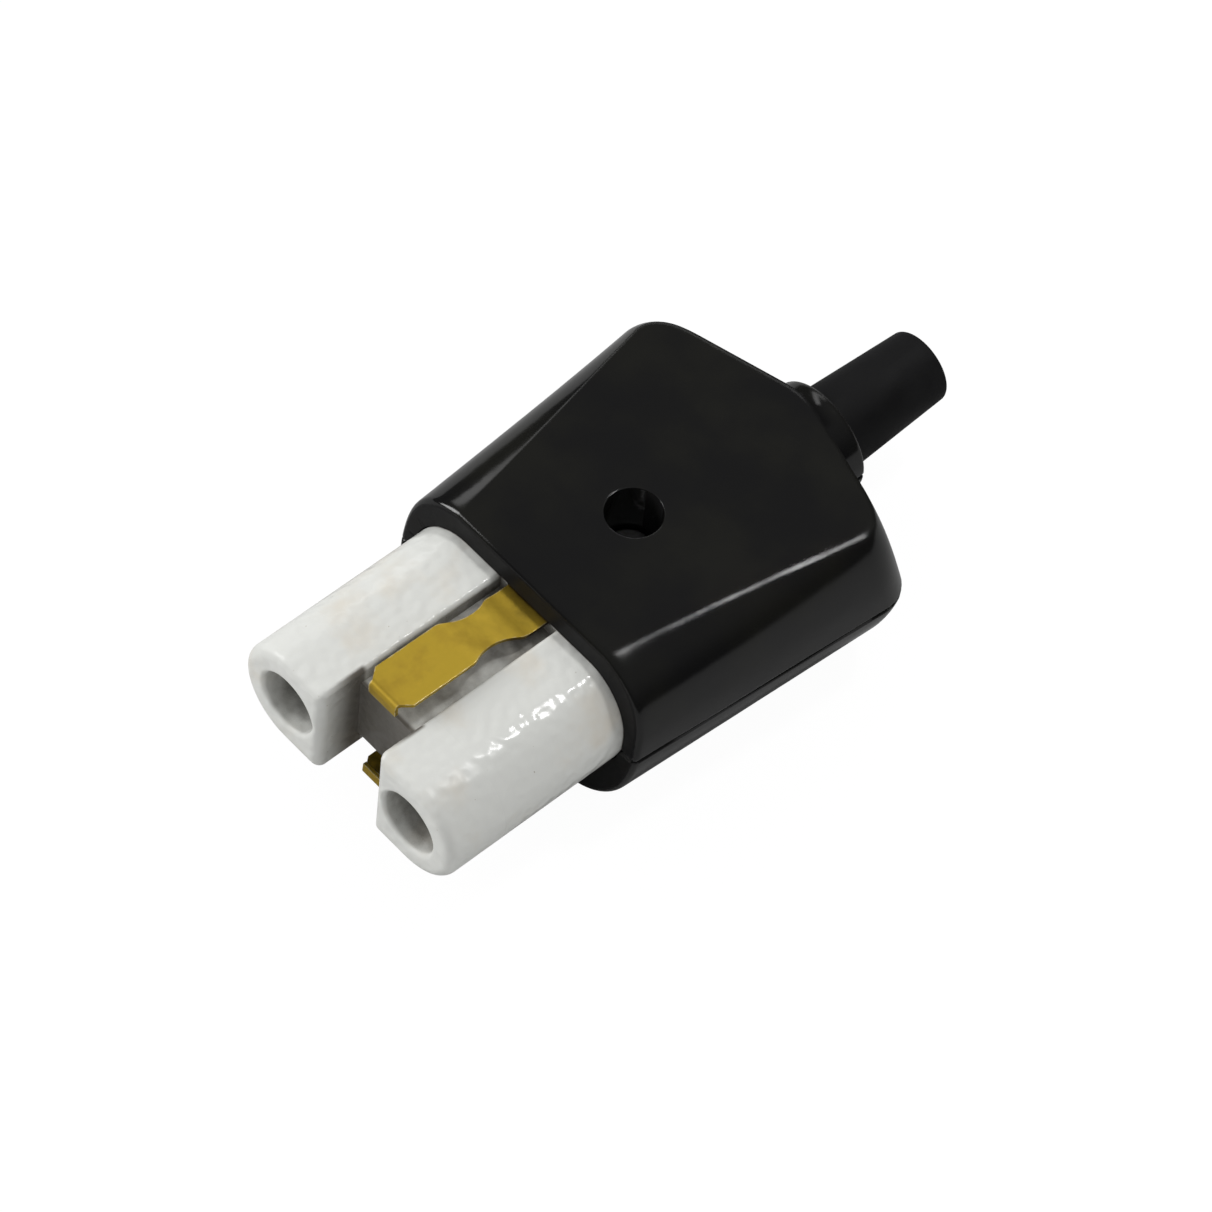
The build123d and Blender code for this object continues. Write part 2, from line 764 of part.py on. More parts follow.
pieces = {
    "upper_housing": upper_housing,
    "lower_housing": lower_housing,
    "ceramic_insert": ceramic_insert,
    "left_contact": left_contact,
    "right_contact": right_contact,
    "left_contact_ring": left_contact_ring,
    "right_contact_ring": right_contact_ring,
    "left_terminal_screw": left_terminal_screw,
    "right_terminal_screw": right_terminal_screw,
    "upper_earth_spring": upper_earth_spring,
    "lower_earth_spring": lower_earth_spring,
    "earth_strap": earth_strap,
    "earth_rivets": earth_rivets,
    "earth_washer": earth_washer,
    "earth_screw": earth_screw,
    "earth_nut": earth_nut,
    "housing_screw": housing_screw,
    "housing_nut": housing_nut,
    "cable_sleeve": cable_sleeve,
    "cord_clamp": cord_clamp,
    "left_clamp_screw": left_clamp_screw,
    "right_clamp_screw": right_clamp_screw,
}
for label, piece in pieces.items():
    piece.part.label = label
    export_step(piece.part, f"parts/{label}.step")
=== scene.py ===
# %% [markdown]
# This scene dresses a heat-proof appliance plug: a white glazed ceramic front with two round
# sockets, brass earth springs, a glossy black moulded housing in two shells, and a rubber cord
# sleeve. The shapes come from a CAD model that is loaded as a fixed frame. Blender adds what CAD
# leaves out: soft edges, glaze, tarnish, screw threads, light and a camera. The CAD pieces are
# never moved, and a piece that needs a finer mesh is replaced by a copy in the same place.

import json
import math

import bmesh
import bpy
from mathutils import Matrix, Vector
from mathutils.bvhtree import BVHTree


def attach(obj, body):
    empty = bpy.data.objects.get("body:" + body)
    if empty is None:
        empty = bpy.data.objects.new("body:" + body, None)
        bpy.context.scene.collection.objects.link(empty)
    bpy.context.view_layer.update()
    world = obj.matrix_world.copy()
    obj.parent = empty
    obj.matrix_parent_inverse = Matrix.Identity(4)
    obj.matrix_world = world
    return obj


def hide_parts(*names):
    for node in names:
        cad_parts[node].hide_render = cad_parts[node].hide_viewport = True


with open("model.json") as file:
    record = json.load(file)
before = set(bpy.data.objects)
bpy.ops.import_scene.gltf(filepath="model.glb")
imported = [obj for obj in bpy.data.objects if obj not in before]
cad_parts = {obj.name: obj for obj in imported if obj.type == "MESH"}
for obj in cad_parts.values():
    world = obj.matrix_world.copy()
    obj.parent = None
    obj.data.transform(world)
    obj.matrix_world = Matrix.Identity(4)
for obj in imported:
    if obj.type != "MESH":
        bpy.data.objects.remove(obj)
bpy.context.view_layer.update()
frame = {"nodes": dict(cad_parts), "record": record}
nodes = frame["nodes"]
scene = bpy.context.scene
MM = 0.001

# %% [markdown]
# The photograph was taken with a long lens from the front right, high over the table, and the
# camera was turned a little about its own axis. The angles below come from fitting the edges of
# the real plug. A camera matrix is built from three unit vectors, because that shows plainly how
# azimuth, elevation and roll work together.

# %% Camera
AZIMUTH = math.radians(41.88)
ELEVATION = math.radians(55.35)
ROLL = math.radians(-7.33)
CAMERA_DISTANCE = 685.43 * MM
LOOK_AT = Vector((-3.04, -1.10, 0.25)) * MM
LENS_MM = 190.06
SENSOR_MM = 36.0
NEAREST, FARTHEST = 0.01, 20.0

back = Vector(
    (
        math.sin(AZIMUTH) * math.cos(ELEVATION),
        -math.cos(AZIMUTH) * math.cos(ELEVATION),
        math.sin(ELEVATION),
    )
)
level_right = Vector((math.cos(AZIMUTH), math.sin(AZIMUTH), 0))
level_up = back.cross(level_right)
camera_right = math.cos(ROLL) * level_right - math.sin(ROLL) * level_up
camera_up = math.sin(ROLL) * level_right + math.cos(ROLL) * level_up

camera_data = bpy.data.cameras.new("photo_camera")
camera_data.lens = LENS_MM
camera_data.sensor_width = SENSOR_MM
camera_data.clip_start = NEAREST
camera_data.clip_end = FARTHEST
camera = bpy.data.objects.new("photo_camera", camera_data)
scene.collection.objects.link(camera)
turn = Matrix((camera_right, camera_up, back)).transposed().to_4x4()
camera.matrix_world = Matrix.Translation(LOOK_AT + back * CAMERA_DISTANCE) @ turn
scene.camera = camera
print("camera stands at", [round(v, 3) for v in camera.location])

# %% [markdown]
# The world, the floor and every finish are node trees. Written out call by call, a tree of twenty
# nodes hides what it does. So a few helpers make a node, a sum, a change of range and a mix. Each
# takes plain numbers or the sockets of other nodes, whichever the step has.


# %% Helpers for a node tree
def input_name(key):
    """Name that Blender shows for an input: specular_ior_level is Specular IOR Level."""
    return key.replace("_", " ").title().replace("Ior", "IOR")


def feed(tree, value, socket):
    """Link an output to an input socket, or write a plain value into it."""
    if isinstance(value, bpy.types.NodeSocket):
        tree.links.new(value, socket)
    else:
        socket.default_value = value


def add_node(tree, kind, **values):
    """New node; each value goes to the input of that name, or else to the node's own setting."""
    node = tree.nodes.new(kind)
    for key, value in values.items():
        if input_name(key) in node.inputs:
            feed(tree, value, node.inputs[input_name(key)])
        else:
            setattr(node, key, value)
    return node


print("an input is named like", input_name("specular_ior_level"))


# %% Helpers for numbers and colours in a tree
def calculate(tree, operation, first, second=None, **settings):
    """Result of a Math node on one or two numbers."""
    node = add_node(tree, "ShaderNodeMath", operation=operation, **settings)
    feed(tree, first, node.inputs[0])
    if second is not None:
        feed(tree, second, node.inputs[1])
    return node.outputs[0]


def calculate_vector(tree, operation, first, second, output="Vector"):
    """Result of a Vector Math node on two vectors."""
    node = add_node(tree, "ShaderNodeVectorMath", operation=operation)
    feed(tree, first, node.inputs[0])
    feed(tree, second, node.inputs[1])
    return node.outputs[output]


def rescale(tree, value, start, stop, low=0.0, high=1.0, smooth=False):
    """Number that is low where value is at start, and high where value is at stop."""
    node = add_node(
        tree,
        "ShaderNodeMapRange",
        interpolation_type="SMOOTHSTEP" if smooth else "LINEAR",
        value=value,
        from_min=start,
        from_max=stop,
        to_min=low,
        to_max=high,
    )
    return node.outputs[0]


def blend(tree, share, first, second):
    """Number that goes from first to second with a share."""
    mix = add_node(tree, "ShaderNodeMix", data_type="FLOAT")
    for value, socket in ((share, mix.inputs[0]), (first, mix.inputs[2]), (second, mix.inputs[3])):
        feed(tree, value, socket)
    return mix.outputs[0]


def tint(tree, mask, under, over):
    """Colour that goes from under to over with a mask; each is a socket or three numbers."""
    mix = add_node(tree, "ShaderNodeMix", data_type="RGBA")
    feed(tree, mask, mix.inputs[0])
    for value, socket in ((under, mix.inputs[6]), (over, mix.inputs[7])):
        feed(tree, (*value, 1.0) if isinstance(value, tuple) else value, socket)
    return mix.outputs[2]


print("helpers for node trees are ready")

# %% [markdown]
# The plug was photographed on white. The world is plain white wherever the camera sees it. What
# the glossy black housing mirrors is another matter: a dim room, darkest at the height of the
# table, so for glossy rays the world fades from dark at the horizon to paler overhead. For diffuse
# light it stays an even soft grey.

# %% World and view transform
DIFFUSE_LEVEL = 0.5
HORIZON_LEVEL = 0.035
OVERHEAD_LEVEL = 0.17
SEEN_LEVEL = 1.0
FADE_HEIGHTS = (0.15, 0.8)
WHITE = (1.0, 1.0, 1.0, 1.0)

scene.view_settings.view_transform = "Standard"
world = bpy.data.worlds.new("white_studio")
scene.world = world
world.use_nodes = True
tree = world.node_tree
tree.nodes.clear()
direction = add_node(tree, "ShaderNodeTexCoord")
height = add_node(tree, "ShaderNodeSeparateXYZ", vector=direction.outputs["Generated"])
up = height.outputs["Z"]
mirrored = rescale(tree, up, *FADE_HEIGHTS, HORIZON_LEVEL, OVERHEAD_LEVEL, smooth=True)
path = add_node(tree, "ShaderNodeLightPath")
lighting = blend(tree, path.outputs["Is Glossy Ray"], DIFFUSE_LEVEL, mirrored)
seen = calculate(
    tree, "MAXIMUM", path.outputs["Is Camera Ray"], path.outputs["Is Transmission Ray"]
)
level = blend(tree, seen, lighting, SEEN_LEVEL)
sky = add_node(tree, "ShaderNodeBackground", color=WHITE, strength=level)
add_node(tree, "ShaderNodeOutputWorld", surface=sky.outputs[0])
print("world: diffuse", DIFFUSE_LEVEL, "horizon", HORIZON_LEVEL, "overhead", OVERHEAD_LEVEL)

# %% [markdown]
# The floor is a plain pale sheet. A camera ray sees mostly plain white, with a share of the lit
# sheet mixed in so that the plug keeps a faint contact shadow. Every other ray sees the lit sheet,
# which throws light back up on the underside of the sockets. Glossy rays see it somewhat darker,
# or the black sides would turn grey.

# %% Floor
FLOOR_HALF = 3.0
FLOOR_DROP = 0.05 * MM
SHEET = (0.72, 0.72, 0.72)
SHEET_MIRRORED = (0.45, 0.45, 0.45)
SHADOW_SHARE = 0.08
PLAIN_WHITE = 1.05

floor_mesh = bpy.data.meshes.new("floor")
corners = [(-1, -1), (1, -1), (1, 1), (-1, 1)]
floor_mesh.from_pydata([(FLOOR_HALF * x, FLOOR_HALF * y, 0) for x, y in corners], [], [(0, 1, 2, 3)])
floor = bpy.data.objects.new("floor", floor_mesh)
scene.collection.objects.link(floor)
floor.location.z = -FLOOR_DROP

paper = bpy.data.materials.new("white_paper")
paper.use_nodes = True
tree = paper.node_tree
tree.nodes.clear()
path = add_node(tree, "ShaderNodeLightPath")
tone = tint(tree, path.outputs["Is Glossy Ray"], SHEET, SHEET_MIRRORED)
sheet = add_node(tree, "ShaderNodeBsdfDiffuse", color=tone)
plain = add_node(tree, "ShaderNodeEmission", strength=PLAIN_WHITE)
plain_share = calculate(tree, "MULTIPLY", path.outputs["Is Camera Ray"], 1.0 - SHADOW_SHARE)
mixed = add_node(tree, "ShaderNodeMixShader")
for place, source in enumerate((plain_share, sheet.outputs[0], plain.outputs[0])):
    feed(tree, source, mixed.inputs[place])
add_node(tree, "ShaderNodeOutputMaterial", surface=mixed.outputs[0])
floor_mesh.materials.append(paper)
print("floor is", 2 * FLOOR_HALF, "m wide")

# %% [markdown]
# Three soft lights stand round the plug. A small bright one nearly overhead stands where the
# rounded right top edge of the housing mirrors it to the camera, and draws the crisp white line
# there. The place comes from reflecting the direction to the camera in a normal that leans to the
# right. A broad one at the front left gives the ceramic its even white. A window behind on the
# left is mirrored by the other edges of the top face and by the rim of the screw hole, which draws
# a fine line along them. Each is an area light turned to the plug.

# %% Lights
PLUG_MIDDLE = Vector((0, 0, 11)) * MM
EDGE_LEAN = math.radians(14)


def soft_light(name, direction, distance, width, length, watts):
    """Area light that looks at the middle of the plug from a direction; sizes in metres."""
    data = bpy.data.lights.new(name, "AREA")
    data.shape = "RECTANGLE"
    data.size = width
    data.size_y = length
    data.energy = watts
    lamp = bpy.data.objects.new(name, data)
    scene.collection.objects.link(lamp)
    away = Vector(direction).normalized()
    lamp.location = PLUG_MIDDLE + away * distance
    lamp.rotation_euler = away.to_track_quat("Z", "Y").to_euler()


edge_normal = Vector((math.sin(EDGE_LEAN), 0, math.cos(EDGE_LEAN)))
edge_direction = 2 * back.dot(edge_normal) * edge_normal - back
soft_light("edge_light", edge_direction, distance=0.8, width=0.1, length=0.1, watts=1.7)
soft_light("front_light", (-0.95, -0.72, 0.5), distance=0.9, width=0.35, length=0.4, watts=4.0)
soft_light("window_light", (-0.64, 0.58, 0.5), distance=0.9, width=0.7, length=0.17, watts=0.65)

# %% [markdown]
# Several finishes share the same small effects, so each effect is a node group with named inputs,
# built once. All of them read Object coordinates, in metres, so their scales are large numbers:
# a scale of 1000 gives a pattern that repeats about every millimetre.

# %% Helpers for shared shader groups
FLOAT = "NodeSocketFloat"
VECTOR = "NodeSocketVector"


def new_group(name, inputs, outputs):
    """Shader group with named inputs and outputs; gives the group and its two end nodes."""
    group = bpy.data.node_groups.new(name, "ShaderNodeTree")
    for label, kind, value in inputs:
        socket = group.interface.new_socket(label, in_out="INPUT", socket_type=kind)
        socket.default_value = value
    for label, kind in outputs:
        group.interface.new_socket(label, in_out="OUTPUT", socket_type=kind)
    return group, group.nodes.new("NodeGroupInput"), group.nodes.new("NodeGroupOutput")


def surface_point(tree):
    """The point that is shaded, in Object coordinates."""
    return add_node(tree, "ShaderNodeTexCoord").outputs["Object"]


def noise(tree, point, scale, detail):
    """Soft noise between nothing and one at a point."""
    cloud = add_node(tree, "ShaderNodeTexNoise", vector=point, scale=scale, detail=detail)
    return cloud.outputs["Fac"]


def rounded_normal(tree, radius, samples):
    """Normal of the surface as if its edges were rounded with a radius."""
    return add_node(tree, "ShaderNodeBevel", samples=samples, radius=radius).outputs[0]


print("a scale of 1000 repeats about every", round(1 / 1000 / MM, 1), "mm")

# %% [markdown]
# Edges rub first: black plastic turns grey there and brass turns bright. The group compares the
# true normal with one that is rounded over the edge. Where they differ, there is an edge. A noise
# breaks the worn line up, because nothing wears evenly.

# %% Edge wear
WORN_PATCHES = (0.38, 0.62)

edge_wear, start, end = new_group(
    "edge_wear",
    [("Radius", FLOAT, 0.4 * MM), ("Sharpness", FLOAT, 6.0), ("Breakup", FLOAT, 900.0)],
    [("Mask", FLOAT)],
)
true_normal = add_node(edge_wear, "ShaderNodeNewGeometry").outputs["Normal"]
soft_normal = rounded_normal(edge_wear, start.outputs["Radius"], samples=6)
agree = calculate_vector(edge_wear, "DOT_PRODUCT", soft_normal, true_normal, output="Value")
differ = calculate(edge_wear, "SUBTRACT", 1.0, agree)
sharp = calculate(edge_wear, "MULTIPLY", differ, start.outputs["Sharpness"], use_clamp=True)
patches = noise(edge_wear, surface_point(edge_wear), start.outputs["Breakup"], detail=4.0)
broken = rescale(edge_wear, patches, *WORN_PATCHES)
feed(edge_wear, calculate(edge_wear, "MULTIPLY", sharp, broken), end.inputs["Mask"])
print(edge_wear.name, "gives", list(end.inputs.keys())[:1])

# %% [markdown]
# No finish has one even tone. Mottle is a slow cloudy mask: Low and High say which part of the
# noise turns into cloud, so the same group gives broad clouds or a few small specks.

# %% Mottle
mottle, start, end = new_group(
    "mottle",
    [("Scale", FLOAT, 200.0), ("Low", FLOAT, 0.4), ("High", FLOAT, 0.65), ("Detail", FLOAT, 5.0)],
    [("Mask", FLOAT)],
)
cloud = noise(mottle, surface_point(mottle), start.outputs["Scale"], start.outputs["Detail"])
spread = rescale(mottle, cloud, start.outputs["Low"], start.outputs["High"], smooth=True)
feed(mottle, spread, end.inputs["Mask"])
print(mottle.name, "gives", list(end.inputs.keys())[:1])

# %% [markdown]
# Grain is a fine unevenness of the surface that bends its reflections. Stretch makes it run along
# one axis, as on rolled metal. The Normal input takes a normal that is already rounded at the
# edges, so both effects add up. The Height is in metres.

# %% Grain
grain, start, end = new_group(
    "grain",
    [
        ("Scale", FLOAT, 3000.0),
        ("Stretch", VECTOR, (1.0, 1.0, 1.0)),
        ("Height", FLOAT, 0.02 * MM),
        ("Detail", FLOAT, 3.0),
        ("Normal", VECTOR, (0.0, 0.0, 0.0)),
    ],
    [("Normal", VECTOR)],
)
stretched = calculate_vector(
    grain, "MULTIPLY", surface_point(grain), start.outputs["Stretch"]
)
bumped = add_node(
    grain,
    "ShaderNodeBump",
    strength=1.0,
    distance=start.outputs["Height"],
    height=noise(grain, stretched, start.outputs["Scale"], start.outputs["Detail"]),
    normal=start.outputs["Normal"],
)
feed(grain, bumped.outputs[0], end.inputs["Normal"])
print(grain.name, "gives", list(end.inputs.keys())[:1])

# %% [markdown]
# This group gives the mask for painted shade in hollows and crevices. The Ambient Occlusion node
# says how open the surface is within a reach. A noise shifts that value a little, so that the
# painted shade has a ragged edge, and the mask is full where the surface is more closed than Low.

# %% Crevice shade
SHADE_BREAKUP_RANGE = (0.3, 0.7)
RAGGED = 0.12

# Painted shade: the finishes that use this mask are darkened where the surface is closed in.
painted_hollow_shade, start, end = new_group(
    "painted_hollow_shade",
    [
        ("Reach", FLOAT, 6.0 * MM),
        ("Low", FLOAT, 0.2),
        ("High", FLOAT, 0.9),
        ("Breakup", FLOAT, 300.0),
    ],
    [("Mask", FLOAT)],
)
openness = add_node(
    painted_hollow_shade, "ShaderNodeAmbientOcclusion", samples=12, distance=start.outputs["Reach"]
)
# The noise only breaks up the edge of the painted shade.
shade_breakup = noise(painted_hollow_shade, surface_point(painted_hollow_shade), start.outputs["Breakup"], detail=4.0)
uneven = rescale(painted_hollow_shade, shade_breakup, *SHADE_BREAKUP_RANGE, -RAGGED, RAGGED)
shifted = calculate(painted_hollow_shade, "ADD", openness.outputs["AO"], uneven)
closed = rescale(
    painted_hollow_shade, shifted, start.outputs["Low"], start.outputs["High"], 1.0, 0.0, smooth=True
)
feed(painted_hollow_shade, closed, end.inputs["Mask"])
print("shared groups:", [g.name for g in bpy.data.node_groups])

# %% [markdown]
# Every finish is one Principled BSDF. What stays the same all over, such as metal or gloss, is a
# plain number on the shader. What changes over the surface, such as colour, roughness and the
# normal, comes from the shared groups.


# %% Helpers for a material
def new_material(name, **constants):
    """Material with one Principled BSDF; constants are plain numbers on its own sockets."""
    material = bpy.data.materials.new(name)
    material.use_nodes = True
    tree = material.node_tree
    tree.nodes.clear()
    shader = add_node(tree, "ShaderNodeBsdfPrincipled", **constants)
    add_node(tree, "ShaderNodeOutputMaterial", surface=shader.outputs[0])
    return material, tree, shader


def drive(tree, shader, **sources):
    """Feed what changes over the surface into the shader, such as base_color or normal."""
    for key, source in sources.items():
        feed(tree, source, shader.inputs[input_name(key)])


def use_group(tree, group, **values):
    """Output of a shared group that is placed in a tree with its own values."""
    node = tree.nodes.new("ShaderNodeGroup")
    node.node_tree = group
    for key, value in values.items():
        feed(tree, value, node.inputs[key])
    return node.outputs[0]


def ramp(tree, mask, low, high):
    """Number that goes from low to high with a mask."""
    return rescale(tree, mask, 0.0, 1.0, low, high)


def between(tree, value, start, stop):
    """Mask that goes from one, where value is at start, to nothing at stop."""
    return rescale(tree, value, start, stop, 1.0, 0.0, smooth=True)


print("helpers for materials are ready")

# %% [markdown]
# The housing is compression moulded phenolic. It leaves the mould glossy and almost black, with a
# brownish cloud here and there, and its edges go a little grey where they rub.

# %% Black moulded phenolic: colour and gloss
PHENOLIC = (0.0058, 0.0058, 0.006)
PHENOLIC_BROWN = (0.0085, 0.0084, 0.0068)
PHENOLIC_WORN = (0.022, 0.022, 0.022)
PHENOLIC_IOR = 1.45

phenolic, tree, shader = new_material("black_phenolic", ior=PHENOLIC_IOR)
wear = use_group(tree, edge_wear, Radius=0.35 * MM, Sharpness=3.0, Breakup=700.0)
tone = use_group(tree, mottle, Scale=120.0, Low=0.35, High=0.7)
base = tint(tree, tone, PHENOLIC, PHENOLIC_BROWN)
drive(
    tree,
    shader,
    base_color=tint(tree, wear, base, PHENOLIC_WORN),
    roughness=ramp(tree, tone, 0.1, 0.17),
)
print("made the colour of", phenolic.name)

# %% [markdown]
# A rounded shading normal makes every sharp CAD edge catch the light as a moulded edge does. The
# rounding is wide along the sides and the back of the top face, and narrow at the screw hole, at
# the front and low down, where the real edges are sharp. So the radius is worked out from the
# place: what the side and the back add is multiplied by masks that are nothing in the sharp places.
# The face itself is never quite flat, and its slow wave bends the reflections.

# %% Black moulded phenolic: rounded edges
NARROW = 0.22 * MM
LEFT_ADDS, RIGHT_ADDS = 0.35 * MM, 1.05 * MM
BACK_ADDS = 0.7 * MM
SCREW_HOLE = Vector((0.0, -2.0, 0.0)) * MM
HOLE_TO_CLEAR = (4.5 * MM, 6.5 * MM)
SIDE_TO_TOP = (12.0 * MM, 17.0 * MM)
RIM_TO_FACE = (-17.0 * MM, -14.5 * MM)
LEFT_TO_RIGHT = (6.0 * MM, 9.5 * MM)
FACE_TO_BACK = (13.0 * MM, 19.0 * MM)

point = surface_point(tree)
place = add_node(tree, "ShaderNodeSeparateXYZ", vector=point).outputs
level_point = calculate_vector(tree, "MULTIPLY", point, (1.0, 1.0, 0.0))
from_hole = calculate_vector(tree, "DISTANCE", level_point, SCREW_HOLE, output="Value")
upper_part = rescale(tree, place["Z"], *SIDE_TO_TOP)
away_from_hole = rescale(tree, from_hole, *HOLE_TO_CLEAR)
behind_rim = rescale(tree, place["Y"], *RIM_TO_FACE)
side_adds = rescale(tree, place["X"], *LEFT_TO_RIGHT, LEFT_ADDS, RIGHT_ADDS)
back_adds = rescale(tree, place["Y"], *FACE_TO_BACK, 0.0, BACK_ADDS)
extra = calculate(tree, "MAXIMUM", side_adds, back_adds)
for mask in (upper_part, away_from_hole, behind_rim):
    extra = calculate(tree, "MULTIPLY", extra, mask)
edge_radius = calculate(tree, "ADD", extra, NARROW)
soft_edge = rounded_normal(tree, edge_radius, samples=12)
wavy = use_group(tree, grain, Scale=150.0, Height=0.06 * MM, Detail=1.0, Normal=soft_edge)
fine = use_group(tree, grain, Scale=2600.0, Height=0.0012 * MM, Detail=3.0, Normal=wavy)
drive(tree, shader, normal=fine)
print("edges of", phenolic.name, "are", round(NARROW / MM, 2), "mm round and more on top")

# %% [markdown]
# The end of the housing that the ceramic comes out of was ground flat after moulding, so its
# narrow face is matte and a little paler. It is a material of its own, which the parting line step
# gives to the faces that look forward.

# %% Ground phenolic
GROUND = (0.009, 0.009, 0.0095)
GROUND_PALE = (0.014, 0.0135, 0.013)

ground, tree, shader = new_material("ground_phenolic", ior=PHENOLIC_IOR, specular_ior_level=0.12)
tone = use_group(tree, mottle, Scale=300.0, Low=0.35, High=0.7)
drive(
    tree,
    shader,
    base_color=tint(tree, tone, GROUND, GROUND_PALE),
    roughness=ramp(tree, tone, 0.4, 0.6),
    normal=use_group(tree, grain, Scale=3000.0, Height=0.004 * MM, Detail=3.0),
)
print("made", ground.name)

# %% [markdown]
# Porcelain under a thin glaze is white and half glossy. Kiln dust leaves faint warm clouds and a
# few small specks. The gap between the towers and the socket holes get painted shade: the
# hollow-shade mask darkens them. The slot in front of the web is open to the front, so that mask
# misses it, and a second mask made from the place paints shade there.

# %% White glazed ceramic: colour
CERAMIC = (0.735, 0.742, 0.71)
CERAMIC_WARM = (0.71, 0.68, 0.61)
CERAMIC_SPECK = (0.42, 0.38, 0.32)
# Colour of the painted shade in the gap, the socket holes and the slot.
CERAMIC_PAINTED_SHADE = (0.12, 0.108, 0.092)
SLOT_TO_SIDE = (4.6 * MM, 5.1 * MM)
SLOT_TO_FRONT = (-36.0 * MM, -41.0 * MM)
SLOT_TO_WEB = (-35.3 * MM, -34.6 * MM)
SLOT_PAINTED_SHADE = 0.95

ceramic, tree, shader = new_material("white_glaze", ior=1.5, specular_ior_level=0.3)
cloud = use_group(tree, mottle, Scale=150.0, Low=0.48, High=0.74, Detail=4.0)
specks = use_group(tree, mottle, Scale=1700.0, Low=0.76, High=0.8, Detail=2.0)
body = tint(tree, cloud, CERAMIC, CERAMIC_WARM)
speckled = tint(tree, specks, body, CERAMIC_SPECK)
# Painted shade in the gap and the socket holes, from the hollow-shade mask.
hollow_shade_mask = use_group(tree, painted_hollow_shade, Reach=9.0 * MM, Low=0.05, High=0.65, Breakup=420.0)
place = add_node(tree, "ShaderNodeSeparateXYZ", vector=surface_point(tree)).outputs
# Painted shade in the slot in front of the web, placed by position alone.
sideways = calculate(tree, "ABSOLUTE", place["X"])
within_sides = between(tree, sideways, *SLOT_TO_SIDE)
within_front = between(tree, place["Y"], *SLOT_TO_FRONT)
in_slot = calculate(tree, "MULTIPLY", within_sides, within_front)
before_web = ramp(tree, between(tree, place["Y"], *SLOT_TO_WEB), 0.0, SLOT_PAINTED_SHADE)
slot_shade_mask = calculate(tree, "MULTIPLY", in_slot, before_web)
# Both masks of painted shade laid over the glaze colour.
painted_shade_mask = calculate(tree, "MAXIMUM", hollow_shade_mask, slot_shade_mask)
drive(tree, shader, base_color=tint(tree, painted_shade_mask, speckled, CERAMIC_PAINTED_SHADE))
print("made the colour of", ceramic.name)

# %% [markdown]
# The glaze runs and pools, so its surface has a wave that breaks each highlight into beads. The
# ends of the towers have rubbed in many an inlet and are duller. The mould gave the outer edges
# a wide round and left those beside the gap almost sharp, so the radius of the shading normal
# depends on how far a point lies from the middle.

# %% White glazed ceramic: gloss and edges
RUBBED_TO_GLOSSY = (-38.0 * MM, -27.0 * MM)
INNER_TO_OUTER = (5.5 * MM, 7.5 * MM)
OUTER_ROUND, INNER_ROUND = 0.6 * MM, 0.12 * MM

rubbed = between(tree, place["Y"], *RUBBED_TO_GLOSSY)
near_gap = between(tree, sideways, *INNER_TO_OUTER)
edge_radius = ramp(tree, near_gap, OUTER_ROUND, INNER_ROUND)
soft_edge = rounded_normal(tree, edge_radius, samples=8)
drive(
    tree,
    shader,
    roughness=ramp(tree, rubbed, 0.15, 0.34),
    normal=use_group(tree, grain, Scale=850.0, Height=0.14 * MM, Detail=0.0, Normal=soft_edge),
)
print("made the gloss of", ceramic.name)

# %% [markdown]
# The springs are rolled brass strip. Rolling leaves fine lines along the strip, air and fingers
# leave brown clouds, and the sheared edges stay bright. The stretched grain gives the lines. Close
# to the housing the hollow-shade mask turns the strip near-black brown: partly tarnish, partly
# painted shade under the rim.

# %% Brass strip
BRASS = (0.66, 0.455, 0.045)
BRASS_DULL = (0.45, 0.3, 0.03)
# Partly tarnish, partly painted shade where the strip goes under the housing rim.
BRASS_TARNISH_AND_SHADE = (0.05, 0.03, 0.012)
BRASS_BRIGHT = (0.98, 0.86, 0.5)
ALONG_STRIP = (1.0, 0.06, 1.0)

brass, tree, shader = new_material("tarnished_brass", metallic=0.75)
tarnish = use_group(tree, mottle, Scale=260.0, Low=0.35, High=0.72, Detail=6.0)
wear = use_group(tree, edge_wear, Radius=0.25 * MM, Sharpness=7.0, Breakup=1200.0)
# Mask of tarnish and painted shade near the housing.
tarnish_and_shade = use_group(tree, painted_hollow_shade, Reach=4.0 * MM, Low=0.3, High=0.85, Breakup=500.0)
tone = tint(tree, tarnish, BRASS, BRASS_DULL)
bright = tint(tree, wear, tone, BRASS_BRIGHT)
soft_edge = rounded_normal(tree, 0.12 * MM, samples=6)
rolled = use_group(
    tree,
    grain,
    Scale=2200.0,
    Stretch=ALONG_STRIP,
    Height=0.006 * MM,
    Detail=3.0,
    Normal=soft_edge,
)
drive(
    tree,
    shader,
    base_color=tint(tree, tarnish_and_shade, bright, BRASS_TARNISH_AND_SHADE),
    roughness=ramp(tree, tarnish, 0.38, 0.55),
    normal=rolled,
)
print("made", brass.name)

# %% [markdown]
# Screws and nuts are zinc plated steel, grey with a slight blue, and the rings are tempered strip.
# They differ only in tone and gloss, so one function makes both.

# %% Steel
ZINC, ZINC_DULL = (0.62, 0.63, 0.64), (0.42, 0.42, 0.41)
STRIP, STRIP_DULL = (0.42, 0.41, 0.42), (0.22, 0.2, 0.19)


def steel_finish(name, colour, dull, low, high):
    """Bare metal with a mottled tone, and a roughness that goes from low to high with it."""
    material, tree, shader = new_material(name, metallic=1.0)
    tone = use_group(tree, mottle, Scale=420.0, Low=0.35, High=0.7, Detail=5.0)
    drive(
        tree,
        shader,
        base_color=tint(tree, tone, colour, dull),
        roughness=ramp(tree, tone, low, high),
        normal=use_group(tree, grain, Scale=3500.0, Height=0.004 * MM, Detail=3.0),
    )
    return material


